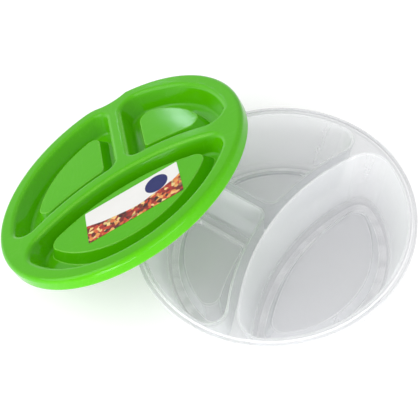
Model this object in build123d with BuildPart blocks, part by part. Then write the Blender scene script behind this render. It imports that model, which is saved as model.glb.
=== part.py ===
from build123d import *
import os
from math import cos, radians, sin, sqrt, tan

# A round snack tray with three compartments, and its loose lid leaning on the tray's rim.
# Millimetres. The tray stands on z = 0, with +X to the right and +Y to the back.
# The origin is the middle of the box round the tray and the lid together, on the table.

# Overall sizes
rim_radius = 125.0
tray_height = 62.5
wall = 1.5
lid_overhang = 4.8
lid_height = 12.0
lid_wall = 1.4

# Layout shared by the tray and the lid, seen with the short divider pointing along +Y
mouth_from_rim = 8.0
layout_shift = 7.0
long_divider_radius = 194.0
long_divider_top = 4.0
long_divider_width = 11.5
short_divider_width = 10.0
lens_corner = 22.0
rim_corner = 15.0
junction_corner = 10.0

# Finger notch in both rims, at the outer end of the short divider
notch_radius = 43.0
notch_depth = 6.0
notch_blend = 30.0

# Tray rim
deck_from_rim = 4.0
step_drop = 1.0
lip_drop = 3.5
deck_edge_rounding = 0.8
mouth_rounding = 1.8

# Tray compartments: how far the floor and its raised panel lie inside the mouth
floor_divider_inset = 4.0
floor_rim_inset = 14.0
floor_corner_loss = 2.0
floor_rounding = 5.0
lens_panel_inset = 20.0
side_panel_inset = 17.0
panel_rim_inset = 29.5
panel_height = 11.0

# Lid recesses: the same measures
fit_clearance = 0.8
recess_depth = 18.7
recess_divider_inset = 6.5
recess_rim_inset = 11.0
recess_corner_loss = 2.0
recess_rounding = 3.0
recess_lens_panel_inset = 15.0
recess_side_panel_inset = 18.0
recess_panel_rim_inset = 26.0
recess_panel_height = 10.7
recess_mouth_rounding = 5.0

# Raised panels in both
panel_slope = 5.5
lens_panel_corner_loss = 11.0
side_panel_corner_loss = 5.0

# Lid edge, with the bead that snaps under the tray's lip
lid_edge_rounding = 4.0
snap_grip = 0.4
snap_height = 2.4
snap_clearance = 0.2

# Label
label_width = 97.0
label_height = 45.0
label_thickness = 0.2
label_corner = 1.5
label_from_centre = 48.0

# How the tray is turned, and how the lid leans on it
tray_turn = 43.3
lid_tilt = 27.3
lid_lean = 138.2
lid_turn = 6.2
lid_side_shift = -26.3
standing_gap = 0.01
leaning_gap = 0.3

# Sizes that follow from those above
names = ["lens", "left", "right"]
deck_radius = rim_radius - deck_from_rim
mouth_radius = rim_radius - mouth_from_rim
lid_radius = rim_radius + lid_overhang
divider_centre = (layout_shift, long_divider_top - long_divider_radius)

# Directions of the leaning lid
downhill = Vector(1, 0, 0).rotate(Axis.Z, lid_lean)
sideways = Vector(0, -1, 0).rotate(Axis.Z, lid_lean)
tilt_axis = Axis((0, 0, 0), -sideways)
lid_x = Vector(1, 0, 0).rotate(Axis.Z, lid_turn).rotate(tilt_axis, lid_tilt)
lid_z = Vector(0, 0, 1).rotate(tilt_axis, lid_tilt)


def half_width(lean):
    """Half the leaning lid's width along an axis, from how far the lid's normal leans that way."""
    edge = lid_radius - lid_edge_rounding
    return edge * sqrt(1 - lean**2) + lid_edge_rounding * (1 - abs(lean))


# The skirt's lowest point stands on the table, and the underside lies on the edge of the tray's deck
slope = radians(lid_tilt)
lid_rise = lid_radius * sin(slope) + lid_height * cos(slope) + standing_gap
lid_underside = lid_rise - (recess_depth + lid_wall) / cos(slope)
lid_reach = deck_radius + (tray_height - lid_underside) / tan(slope) + leaning_gap / sin(slope)
lid_shift = downhill * lid_reach + sideways * lid_side_shift
left_side = lid_shift.X - half_width(lid_z.X)
back_side = lid_shift.Y + half_width(lid_z.Y)
tray_centre = Vector(-(left_side + rim_radius) / 2, -(back_side - rim_radius) / 2, 0)
lid_centre = tray_centre + lid_shift + Vector(0, 0, lid_rise)
tray_x = Vector(1, 0, 0).rotate(Axis.Z, tray_turn)
tray_frame = Plane(origin=tray_centre, x_dir=tray_x, z_dir=(0, 0, 1))
lid_frame = Plane(origin=lid_centre, x_dir=lid_x, z_dir=lid_z)


def arc(centre, start, end):
    """Arc of less than half a turn about a centre."""
    middle = ((Vector(*start) + Vector(*end)) / 2 - Vector(*centre)).normalized()
    reach = (Vector(*start) - Vector(*centre)).length
    return ThreePointArc(start, Vector(*centre) + middle * reach, end)


def rim_crossing(rim, divider, side):
    """Point where an edge of the long divider meets a rim circle, on the +X side or the -X side."""
    apart = sqrt(divider_centre[0] ** 2 + divider_centre[1] ** 2)
    along = (rim**2 - divider**2 + apart**2) / (2 * apart)
    across = sqrt(rim**2 - along**2) * side
    x_unit, y_unit = divider_centre[0] / apart, divider_centre[1] / apart
    return (along * x_unit - across * y_unit, along * y_unit + across * x_unit)


def lens_outline(plane, divider_inset, rim_inset, corner_loss):
    """Outline of the big lens-shaped compartment, moved in from its mouth."""
    rim = mouth_radius - rim_inset
    divider = long_divider_radius - long_divider_width / 2 - divider_inset
    left = rim_crossing(rim, divider, -1)
    right = rim_crossing(rim, divider, 1)
    with BuildSketch(plane) as outline:
        with BuildLine():
            arc(divider_centre, left, right)
            arc((0, 0), right, left)
        make_face()
        fillet(outline.vertices(), lens_corner - corner_loss)
    return outline.sketch


def side_outline(plane, side, divider_inset, rim_inset, corner_loss):
    """Outline of one of the two small compartments, moved in from its mouth."""
    rim = mouth_radius - rim_inset
    divider = long_divider_radius + long_divider_width / 2 + divider_inset
    from_axis = short_divider_width / 2 + divider_inset
    x = layout_shift + side * from_axis
    junction = (x, divider_centre[1] + sqrt(divider**2 - from_axis**2))
    top = (x, sqrt(rim**2 - x**2))
    tip = rim_crossing(rim, divider, side)
    with BuildSketch(plane) as outline:
        with BuildLine():
            Line(junction, top)
            arc((0, 0), top, tip)
            arc(divider_centre, tip, junction)
        make_face()
        fillet(outline.vertices().sort_by_distance(junction)[0], junction_corner - corner_loss)
        fillet(outline.vertices().sort_by_distance(top)[0], rim_corner - corner_loss)
        fillet(outline.vertices().sort_by_distance(tip)[0], rim_corner - corner_loss)
    return outline.sketch


def compartment(plane, name, divider_inset, rim_inset, corner_loss):
    """Outline of a compartment, moved in on the divider side and on the rim side."""
    if name == "lens":
        return lens_outline(plane, divider_inset, rim_inset, corner_loss)
    return side_outline(plane, 1 if name == "right" else -1, divider_inset, rim_inset, corner_loss)


def notched_disc(plane, radius):
    """Disc with the finger notch, which stays parallel to the lid's own notch."""
    with BuildSketch(plane) as outline:
        Circle(radius)
        with Locations((layout_shift, lid_radius + notch_radius - notch_depth)):
            Circle(notch_radius + lid_radius - radius, mode=Mode.SUBTRACT)
        fillet(outline.vertices().group_by(Axis.Y)[-1], notch_blend)
    return outline.sketch


def cup(plane, name, mouth_inset, divider_inset, rim_inset, corner_loss, depth, rounding):
    """Tapered cup that hangs from a plane, with its bottom edge rounded."""
    mouth = compartment(plane, name, mouth_inset, mouth_inset, 0)
    bottom = compartment(plane.offset(-depth), name, divider_inset, rim_inset, corner_loss)
    with BuildPart() as solid:
        loft([bottom, mouth])
        floor = solid.faces().sort_by(Axis(plane.origin, plane.z_dir))[0]
        fillet(floor.edges(), rounding)
    return solid.part


def panel(plane, name, divider_inset, rim_inset, height):
    """Raised floor panel with sloping sides, which stands on a plane."""
    corner_loss = lens_panel_corner_loss if name == "lens" else side_panel_corner_loss
    foot_insets = (divider_inset - panel_slope, rim_inset - panel_slope)
    foot = compartment(plane, name, *foot_insets, corner_loss)
    top = compartment(plane.offset(height), name, divider_inset, rim_inset, corner_loss)
    with BuildPart() as solid:
        loft([foot, top])
    return solid.part


# Tray: deck, step and turned-down lip
deck = tray_frame.offset(tray_height)
lip = deck.offset(-step_drop - lip_drop)
with BuildPart() as tray:
    extrude(notched_disc(deck, deck_radius), amount=-step_drop - wall)
    extrude(notched_disc(lip, rim_radius), amount=lip_drop)
    fillet(tray.edges().group_by(Axis.Z)[-1], deck_edge_rounding)
    extrude(notched_disc(lip, rim_radius - wall), amount=lip_drop - wall, mode=Mode.SUBTRACT)
    under_deck = lip_drop + step_drop - wall
    extrude(notched_disc(lip, deck_radius - wall), amount=under_deck, mode=Mode.SUBTRACT)

    # Three cups, hollow, with the panel of each floor pushed up from below
    for name in names:
        outside = (-wall, floor_divider_inset - wall, floor_rim_inset - wall)
        add(cup(deck, name, *outside, floor_corner_loss, tray_height, floor_rounding + wall))
    for name in names:
        inside = (0, floor_divider_inset, floor_rim_inset)
        depth = tray_height - wall
        add(cup(deck, name, *inside, floor_corner_loss, depth, floor_rounding), mode=Mode.SUBTRACT)
    for name in names:
        inset = lens_panel_inset if name == "lens" else side_panel_inset
        add(panel(tray_frame, name, inset, panel_rim_inset, panel_height + wall))
        hollow = (inset + wall, panel_rim_inset + wall)
        add(panel(tray_frame, name, *hollow, panel_height), mode=Mode.SUBTRACT)
    mouths = tray.faces().sort_by(Axis.Z)[-1].inner_wires().edges()
    fillet(mouths, mouth_rounding)

# Lid: deck with a rounded edge, skirt and snap bead
lid_axis = Axis(lid_frame.origin, lid_frame.z_dir)
skirt_base = lid_frame.offset(-lid_height)
recess_base = lid_frame.offset(-recess_depth - lid_wall)
with BuildPart() as lid_inside:
    extrude(notched_disc(skirt_base, lid_radius - lid_wall), amount=lid_height - lid_wall)
    fillet(lid_inside.edges().group_by(lid_axis)[-1], lid_edge_rounding - lid_wall)
bead_base = lid_frame.offset(-lid_wall - step_drop - lip_drop - snap_clearance - snap_height)
with BuildPart() as bead:
    extrude(notched_disc(bead_base, lid_radius - lid_wall / 2), amount=snap_height)
    extrude(notched_disc(bead_base, rim_radius - snap_grip), amount=snap_height, mode=Mode.SUBTRACT)
with BuildPart() as lid:
    extrude(notched_disc(skirt_base, lid_radius), amount=lid_height)
    fillet(lid.edges().group_by(lid_axis)[-1], lid_edge_rounding)
    add(lid_inside.part, mode=Mode.SUBTRACT)
    add(bead.part)

    # Three recesses that drop into the tray's mouths, each with its own raised panel
    for name in names:
        insets = (fit_clearance, recess_divider_inset - lid_wall, recess_rim_inset - lid_wall)
        depth = recess_depth + lid_wall
        add(cup(lid_frame, name, *insets, recess_corner_loss, depth, recess_rounding + lid_wall))
    for name in names:
        insets = (fit_clearance + lid_wall, recess_divider_inset, recess_rim_inset)
        hollow = cup(lid_frame, name, *insets, recess_corner_loss, recess_depth, recess_rounding)
        add(hollow, mode=Mode.SUBTRACT)
    for name in names:
        inset = recess_lens_panel_inset if name == "lens" else recess_side_panel_inset
        add(panel(recess_base, name, inset, recess_panel_rim_inset, recess_panel_height + lid_wall))
        hollow = (inset + lid_wall, recess_panel_rim_inset + lid_wall)
        add(panel(recess_base, name, *hollow, recess_panel_height), mode=Mode.SUBTRACT)
    recess_mouths = lid.faces().sort_by(lid_axis)[-1].inner_wires().edges()
    fillet(recess_mouths, recess_mouth_rounding)

# Label: a thin sheet on the panel of the lens-shaped recess
label_plane = lid_frame.offset(recess_panel_height - recess_depth)
with BuildPart() as label:
    with BuildSketch(label_plane):
        with Locations((layout_shift, -label_from_centre)):
            RectangleRounded(label_width, label_height, label_corner)
    extrude(amount=label_thickness)

tray.part.label = "tray"
lid.part.label = "lid"
label.part.label = "label"
os.makedirs("parts", exist_ok=True)
export_step(tray.part, "parts/tray.step")
export_step(lid.part, "parts/lid.step")
export_step(label.part, "parts/label.step")
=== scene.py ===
"""A clear divided snack tray on a white floor, with its green lid leaning on the rim."""

import bpy
from mathutils import Matrix, Vector

MM = 0.001
WHITE = (1, 1, 1, 1)

# The camera stands where the photograph was taken from
CAMERA_PLACE = Vector((9.7, -585.9, 900.0)) * MM
CAMERA_RIGHT = Vector((0.97929, -0.16743, -0.11384))
CAMERA_UP = Vector((0.20245, 0.80988, 0.55066))
CAMERA_LENS = 97.41
SENSOR_WIDTH = 36.0

# The label's own frame, on the panel of the lid's big recess
LABEL_CENTRE = Vector((-55.43, -4.82, 81.61)) * MM
LABEL_ALONG = Vector((0.93859, 0.15768, 0.30690))
LABEL_ACROSS = Vector((-0.04629, 0.93898, -0.34084))
LABEL_LENGTH = 97.0 * MM
LABEL_HEIGHT = 45.0 * MM

# Light of the surroundings, and the size of the floor's square
WORLD_STRENGTH = 0.84
WORLD_SEEN_STRENGTH = 1.1
FLOOR_GLOW = 0.30
FLOOR_HALF_WIDTH = 3.0

# Bounces, enough for light to pass the tray's many thin walls
THROUGH_BOUNCES = 24
DIFFUSE_BOUNCES = 16


def screen(red, green, blue):
    """Linear colour of a screen colour from 0 to 255."""
    shares = [value / 255 for value in (red, green, blue)]
    return (*[s / 12.92 if s < 0.04045 else ((s + 0.055) / 1.055) ** 2.4 for s in shares], 1.0)


class Shader:
    """A new node material, with short calls that add its nodes and link them."""

    def __init__(self, name):
        self.material = bpy.data.materials.new(name)
        self.material.use_nodes = True
        self.tree = self.material.node_tree
        self.surface = self.tree.nodes["Principled BSDF"]
        self.place = self.add("TexCoord").outputs["Object"]

    def feed(self, socket, value):
        """Links another node's output to a socket, or sets the socket's value."""
        if isinstance(value, bpy.types.NodeSocket):
            self.tree.links.new(value, socket)
        else:
            socket.default_value = value

    def add(self, kind, *values, **named):
        """Node of a kind, with values for its first sockets and for its named ones."""
        node = self.tree.nodes.new("ShaderNode" + kind)
        for socket, value in zip(node.inputs, values):
            self.feed(socket, value)
        for name, value in named.items():
            self.feed(node.inputs[name], value)
        return node

    def set(self, name, value):
        """Value of the principled surface's input."""
        self.feed(self.surface.inputs[name], value)

    def math(self, operation, *values):
        node = self.add("Math", *values)
        node.operation = operation
        return node.outputs[0]

    def plus(self, first, second):
        return self.math("ADD", first, second)

    def minus(self, first, second):
        return self.math("SUBTRACT", first, second)

    def times(self, first, second):
        return self.math("MULTIPLY", first, second)

    def over(self, first, second):
        return self.math("DIVIDE", first, second)

    def greater(self, first, second):
        return self.math("MAXIMUM", first, second)

    def under(self, first, second):
        """1 where the first value is less than the second, and 0 elsewhere."""
        return self.math("LESS_THAN", first, second)

    def dot(self, vector, direction):
        node = self.add("VectorMath", vector, direction)
        node.operation = "DOT_PRODUCT"
        return node.outputs["Value"]

    def spread(self, value, low, high, to_low, to_high):
        """Value carried from one range to another, and held inside it."""
        return self.add("MapRange", value, low, high, to_low, to_high).outputs[0]

    def mix(self, factor, first, second):
        """Colour between two colours."""
        node = self.tree.nodes.new("ShaderNodeMix")
        node.data_type = "RGBA"
        for index, value in ((0, factor), (6, first), (7, second)):
            self.feed(node.inputs[index], value)
        return node.outputs[2]

    def blend(self, factor, first, second):
        """Surface between two surfaces."""
        return self.add("MixShader", factor, first, second).outputs[0]

    def noise(self, scale, detail=2.0):
        return self.add("TexNoise", Vector=self.place, Scale=scale, Detail=detail).outputs[0]

    def scratches(self, scale, stretch):
        """Fine lines that run one way, 1 on a line and 0 between them."""
        place = self.add("Mapping", self.place)
        place.inputs["Scale"].default_value = stretch
        wave = self.add("TexNoise", Vector=place.outputs[0], Scale=scale, Detail=4.0).outputs[0]
        return self.spread(self.math("ABSOLUTE", self.minus(wave, 0.5)), 0.0, 0.012, 1.0, 0.0)

    def edges(self, radius, faint, full):
        """Normal rounded over the edges, and a mask of them that rises from the faint to the full turn."""
        rounded = self.add("Bevel", radius).outputs[0]
        flat = self.add("NewGeometry").outputs["Normal"]
        turned = self.minus(1.0, self.dot(rounded, flat))
        return rounded, self.spread(turned, faint, full, 0.0, 1.0)

    def bump(self, height, strength, distance):
        """Normal of the fine relief alone."""
        return self.add("Bump", Strength=strength, Distance=distance, Height=height)


def clear_plastic():
    """Faintly milky plastic, see-through face on and whiter where it turns away, with a painted highlight
    that whitens its edges.
    """
    shader = Shader("clear_plastic")
    rounded, edge_highlight = shader.edges(radius=1.1 * MM, faint=0.004, full=0.015)
    flow = shader.noise(scale=14.0, detail=3.0)
    ripple = shader.noise(scale=42.0)
    grain = shader.noise(scale=900.0)
    scuff = shader.greater(shader.scratches(9.0, (1, 9, 2)), shader.scratches(7.0, (8, 1, 2)))

    # Moulded relief, over the rounded edges
    relief = shader.bump(shader.plus(ripple, shader.times(grain, 0.06)), strength=0.05, distance=1.0 * MM)
    shader.feed(relief.inputs["Normal"], rounded)
    normal = relief.outputs[0]

    # The milky part, which lets some light through it
    body = shader.mix(flow, screen(252, 253, 255), screen(254, 255, 255))
    # Painted highlight: the edges get a whiter colour, standing in for glints on their rounding
    colour = shader.mix(edge_highlight, body, screen(254, 254, 255))
    wear = shader.plus(flow, shader.times(scuff, 0.1))
    shader.set("Base Color", colour)
    shader.set("Roughness", shader.spread(wear, 0.3, 0.8, 0.06, 0.14))
    shader.set("IOR", 1.49)
    shader.set("Normal", normal)
    glow = shader.add("BsdfTranslucent", colour, rounded).outputs[0]
    # Painted highlight: the edges take less of the translucent share, so they show as white lines
    glow_share = shader.spread(edge_highlight, 0.0, 1.0, 0.35, 0.1)
    milky = shader.blend(glow_share, shader.surface.outputs[0], glow)

    # How milky: more where the surface turns away, and a painted highlight makes the upper edges most milky
    # white, while the low ones stay clear
    facing = shader.add("LayerWeight", 0.5, normal).outputs["Facing"]
    haze = shader.spread(shader.math("POWER", facing, 1.4), 0.0, 1.0, 0.08, 0.95)
    haze = shader.plus(haze, shader.times(scuff, 0.01))
    height = shader.add("SeparateXYZ", shader.place).outputs[2]
    upper_edge_highlight = shader.times(edge_highlight, shader.spread(height, 14.0 * MM, 20.0 * MM, 0.0, 0.9))
    haze = shader.plus(upper_edge_highlight, shader.times(haze, shader.minus(1.0, edge_highlight)))

    # The see-through part, with painted shade that makes it greyer towards its outline, and left untinted
    # white on the edges as part of their painted highlight
    painted_outline_shade = shader.math("POWER", facing, 8.0)
    tint = shader.mix(painted_outline_shade, screen(241, 241, 242), screen(150, 155, 160))
    clear = shader.add("BsdfTransparent", shader.mix(edge_highlight, tint, WHITE)).outputs[0]
    shader.feed(shader.tree.nodes["Material Output"].inputs["Surface"], shader.blend(haze, clear, milky))
    return shader.material


def green_plastic():
    """Opaque glossy plastic with a faint moulded ripple, a painted highlight that lightens its edges, and
    fine handling marks.
    """
    shader = Shader("green_plastic")
    rounded, edge_highlight = shader.edges(radius=2.0 * MM, faint=0.01, full=0.12)
    flow = shader.noise(scale=8.0, detail=3.0)
    ripple = shader.noise(scale=38.0)
    grain = shader.noise(scale=1100.0)
    scuff = shader.greater(shader.scratches(8.0, (1, 8, 2)), shader.scratches(6.0, (7, 1, 3)))
    relief = shader.bump(shader.plus(ripple, shader.times(grain, 0.05)), strength=0.08, distance=1.0 * MM)
    shader.feed(relief.inputs["Normal"], rounded)

    body = shader.mix(flow, screen(73, 171, 0), screen(85, 181, 1))
    body = shader.mix(shader.times(scuff, 0.03), body, screen(160, 226, 110))
    wear = shader.plus(flow, shader.times(scuff, 0.2))
    # Painted highlight: the rounded edges are lighter green, standing in for glints along them
    shader.set("Base Color", shader.mix(shader.times(edge_highlight, 0.8), body, screen(150, 232, 84)))
    shader.set("Roughness", shader.spread(wear, 0.3, 1.0, 0.06, 0.16))
    shader.set("IOR", 1.5)
    shader.set("Specular IOR Level", 0.2)
    shader.set("Normal", relief.outputs[0])
    return shader.material


def printed_paper():
    """Coated label: white ground, a mottled warm band along one edge and a plain blue disc."""
    shader = Shader("printed_paper")
    away = shader.add("VectorMath", shader.place, LABEL_CENTRE)
    away.operation = "SUBTRACT"
    along = shader.over(shader.dot(away.outputs[0], LABEL_ALONG), LABEL_LENGTH)
    across = shader.over(shader.dot(away.outputs[0], LABEL_ACROSS), LABEL_HEIGHT)
    flow = shader.noise(scale=60.0, detail=3.0)
    paper = shader.mix(flow, screen(226, 225, 222), screen(234, 233, 231))

    # Mottled colours of the band, one for each small cell
    cells = shader.add("TexVoronoi", Vector=shader.place, Scale=290.0)
    draw = shader.dot(cells.outputs["Color"], (0.6, 0.3, 0.1))
    mottle = shader.add("ValToRGB", shader.spread(draw, 0.2, 0.8, 0.0, 1.0))
    stops = (
        (0.0, screen(58, 18, 14)),
        (0.3, screen(150, 32, 24)),
        (0.5, screen(198, 62, 36)),
        (0.66, screen(222, 150, 72)),
        (0.82, screen(240, 214, 140)),
        (1.0, screen(90, 36, 20)),
    )
    ramp = mottle.color_ramp
    while len(ramp.elements) < len(stops):
        ramp.elements.new(0.5)
    for element, (position, colour) in zip(ramp.elements, stops):
        element.position = position
        element.color = colour

    # The band's upper edge is a shallow bowl, made ragged by the noise
    bowl = shader.plus(-0.2, shader.times(shader.times(along, along), 0.9))
    band = shader.under(across, shader.plus(bowl, shader.times(flow, 0.1)))
    print_colour = shader.mix(band, paper, mottle.outputs[0])

    # The disc, in shares of the label's length and height
    right = shader.over(shader.minus(along, 0.26), 0.12)
    up = shader.over(shader.minus(across, 0.17), 0.25)
    reach = shader.plus(shader.times(right, right), shader.times(up, up))
    print_colour = shader.mix(shader.under(reach, 1.0), print_colour, screen(12, 24, 96))

    shader.set("Base Color", print_colour)
    shader.set("Roughness", shader.spread(flow, 0.3, 0.7, 0.28, 0.4))
    shader.set("Specular IOR Level", 0.3)
    relief = shader.bump(shader.noise(scale=160.0), strength=0.12, distance=0.3 * MM)
    shader.set("Normal", relief.outputs[0])
    return shader.material


def white_floor():
    """Floor that looks white to the camera and keeps the object's shadow."""
    shader = Shader("white_floor")
    grain = shader.noise(scale=30.0)
    shader.set("Base Color", shader.mix(grain, (0.78, 0.78, 0.78, 1), (0.80, 0.80, 0.80, 1)))
    shader.set("Roughness", 0.7)
    path = shader.add("LightPath")
    seen = shader.greater(path.outputs["Is Camera Ray"], path.outputs["Is Glossy Ray"])
    seen = shader.greater(seen, path.outputs["Is Transmission Ray"])
    shader.set("Emission Color", WHITE)
    shader.set("Emission Strength", shader.times(seen, FLOOR_GLOW))
    return shader.material


def make_floor():
    half = FLOOR_HALF_WIDTH
    corners = [(-half, -half, 0), (half, -half, 0), (half, half, 0), (-half, half, 0)]
    mesh = bpy.data.meshes.new("floor")
    mesh.from_pydata(corners, [], [(0, 1, 2, 3)])
    mesh.materials.append(white_floor())
    floor = bpy.data.objects.new("floor", mesh)
    bpy.context.scene.collection.objects.link(floor)


def make_lamp(name, place, target, size, power, colour=(1, 1, 1)):
    """Flat rectangular lamp that points at a target, in metres and watts."""
    light = bpy.data.lights.new(name, "AREA")
    light.shape = "RECTANGLE"
    light.size, light.size_y = size
    light.energy = power
    light.color = colour
    lamp = bpy.data.objects.new(name, light)
    lamp.location = place
    lamp.rotation_euler = (Vector(target) - Vector(place)).to_track_quat("-Z", "Y").to_euler()
    bpy.context.scene.collection.objects.link(lamp)


def make_lamps():
    """Soft key from the left, two fills from the front, and a small window behind that shines on the lid."""
    make_lamp("key", place=(-1.7, 0.3, 1.0), target=(0, 0, 0), size=(1.3, 1.3), power=16)
    make_lamp("fill", place=(0.6, -1.5, 0.55), target=(0, 0, 0), size=(0.9, 0.7), power=9)
    make_lamp("low_fill", place=(-0.6, -1.5, 0.3), target=(0, 0, 0.03), size=(0.9, 0.4), power=16)
    sky = (0.75, 0.88, 1.0)
    place = (-0.56, 1.6, 0.23)
    make_lamp("window", place, target=(0, 0.09, 0.07), size=(0.03, 0.09), power=0.10, colour=sky)


def make_world():
    """Even white surroundings, pure white where the camera sees them."""
    world = bpy.data.worlds.new("world")
    world.use_nodes = True
    tree = world.node_tree
    background = tree.nodes["Background"]
    background.inputs["Color"].default_value = WHITE
    path = tree.nodes.new("ShaderNodeLightPath")
    level = tree.nodes.new("ShaderNodeMapRange")
    level.inputs["To Min"].default_value = WORLD_STRENGTH
    level.inputs["To Max"].default_value = WORLD_SEEN_STRENGTH
    tree.links.new(path.outputs["Is Camera Ray"], level.inputs["Value"])
    tree.links.new(level.outputs[0], background.inputs["Strength"])
    bpy.context.scene.world = world


def make_camera():
    data = bpy.data.cameras.new("camera")
    data.lens = CAMERA_LENS
    data.sensor_width = SENSOR_WIDTH
    camera = bpy.data.objects.new("camera", data)
    back = CAMERA_RIGHT.cross(CAMERA_UP)
    turn = Matrix((CAMERA_RIGHT, CAMERA_UP, back)).transposed().to_4x4()
    camera.matrix_world = Matrix.Translation(CAMERA_PLACE) @ turn
    bpy.context.scene.collection.objects.link(camera)
    bpy.context.scene.camera = camera


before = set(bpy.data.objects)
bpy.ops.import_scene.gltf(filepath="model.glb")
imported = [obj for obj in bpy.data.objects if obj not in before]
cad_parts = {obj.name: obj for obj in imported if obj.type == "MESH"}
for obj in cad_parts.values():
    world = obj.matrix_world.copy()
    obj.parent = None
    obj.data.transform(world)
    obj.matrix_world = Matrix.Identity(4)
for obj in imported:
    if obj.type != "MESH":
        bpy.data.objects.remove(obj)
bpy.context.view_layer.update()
scene = bpy.context.scene
scene.view_settings.view_transform = "Standard"
scene.cycles.transparent_max_bounces = THROUGH_BOUNCES
scene.cycles.max_bounces = THROUGH_BOUNCES
scene.cycles.diffuse_bounces = DIFFUSE_BOUNCES
scene.cycles.transmission_bounces = THROUGH_BOUNCES

make_camera()
make_floor()
make_world()
make_lamps()

materials = {"tray": clear_plastic(), "lid": green_plastic(), "label": printed_paper()}
for name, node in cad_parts.items():
    node.data.materials.clear()
    node.data.materials.append(materials[name])
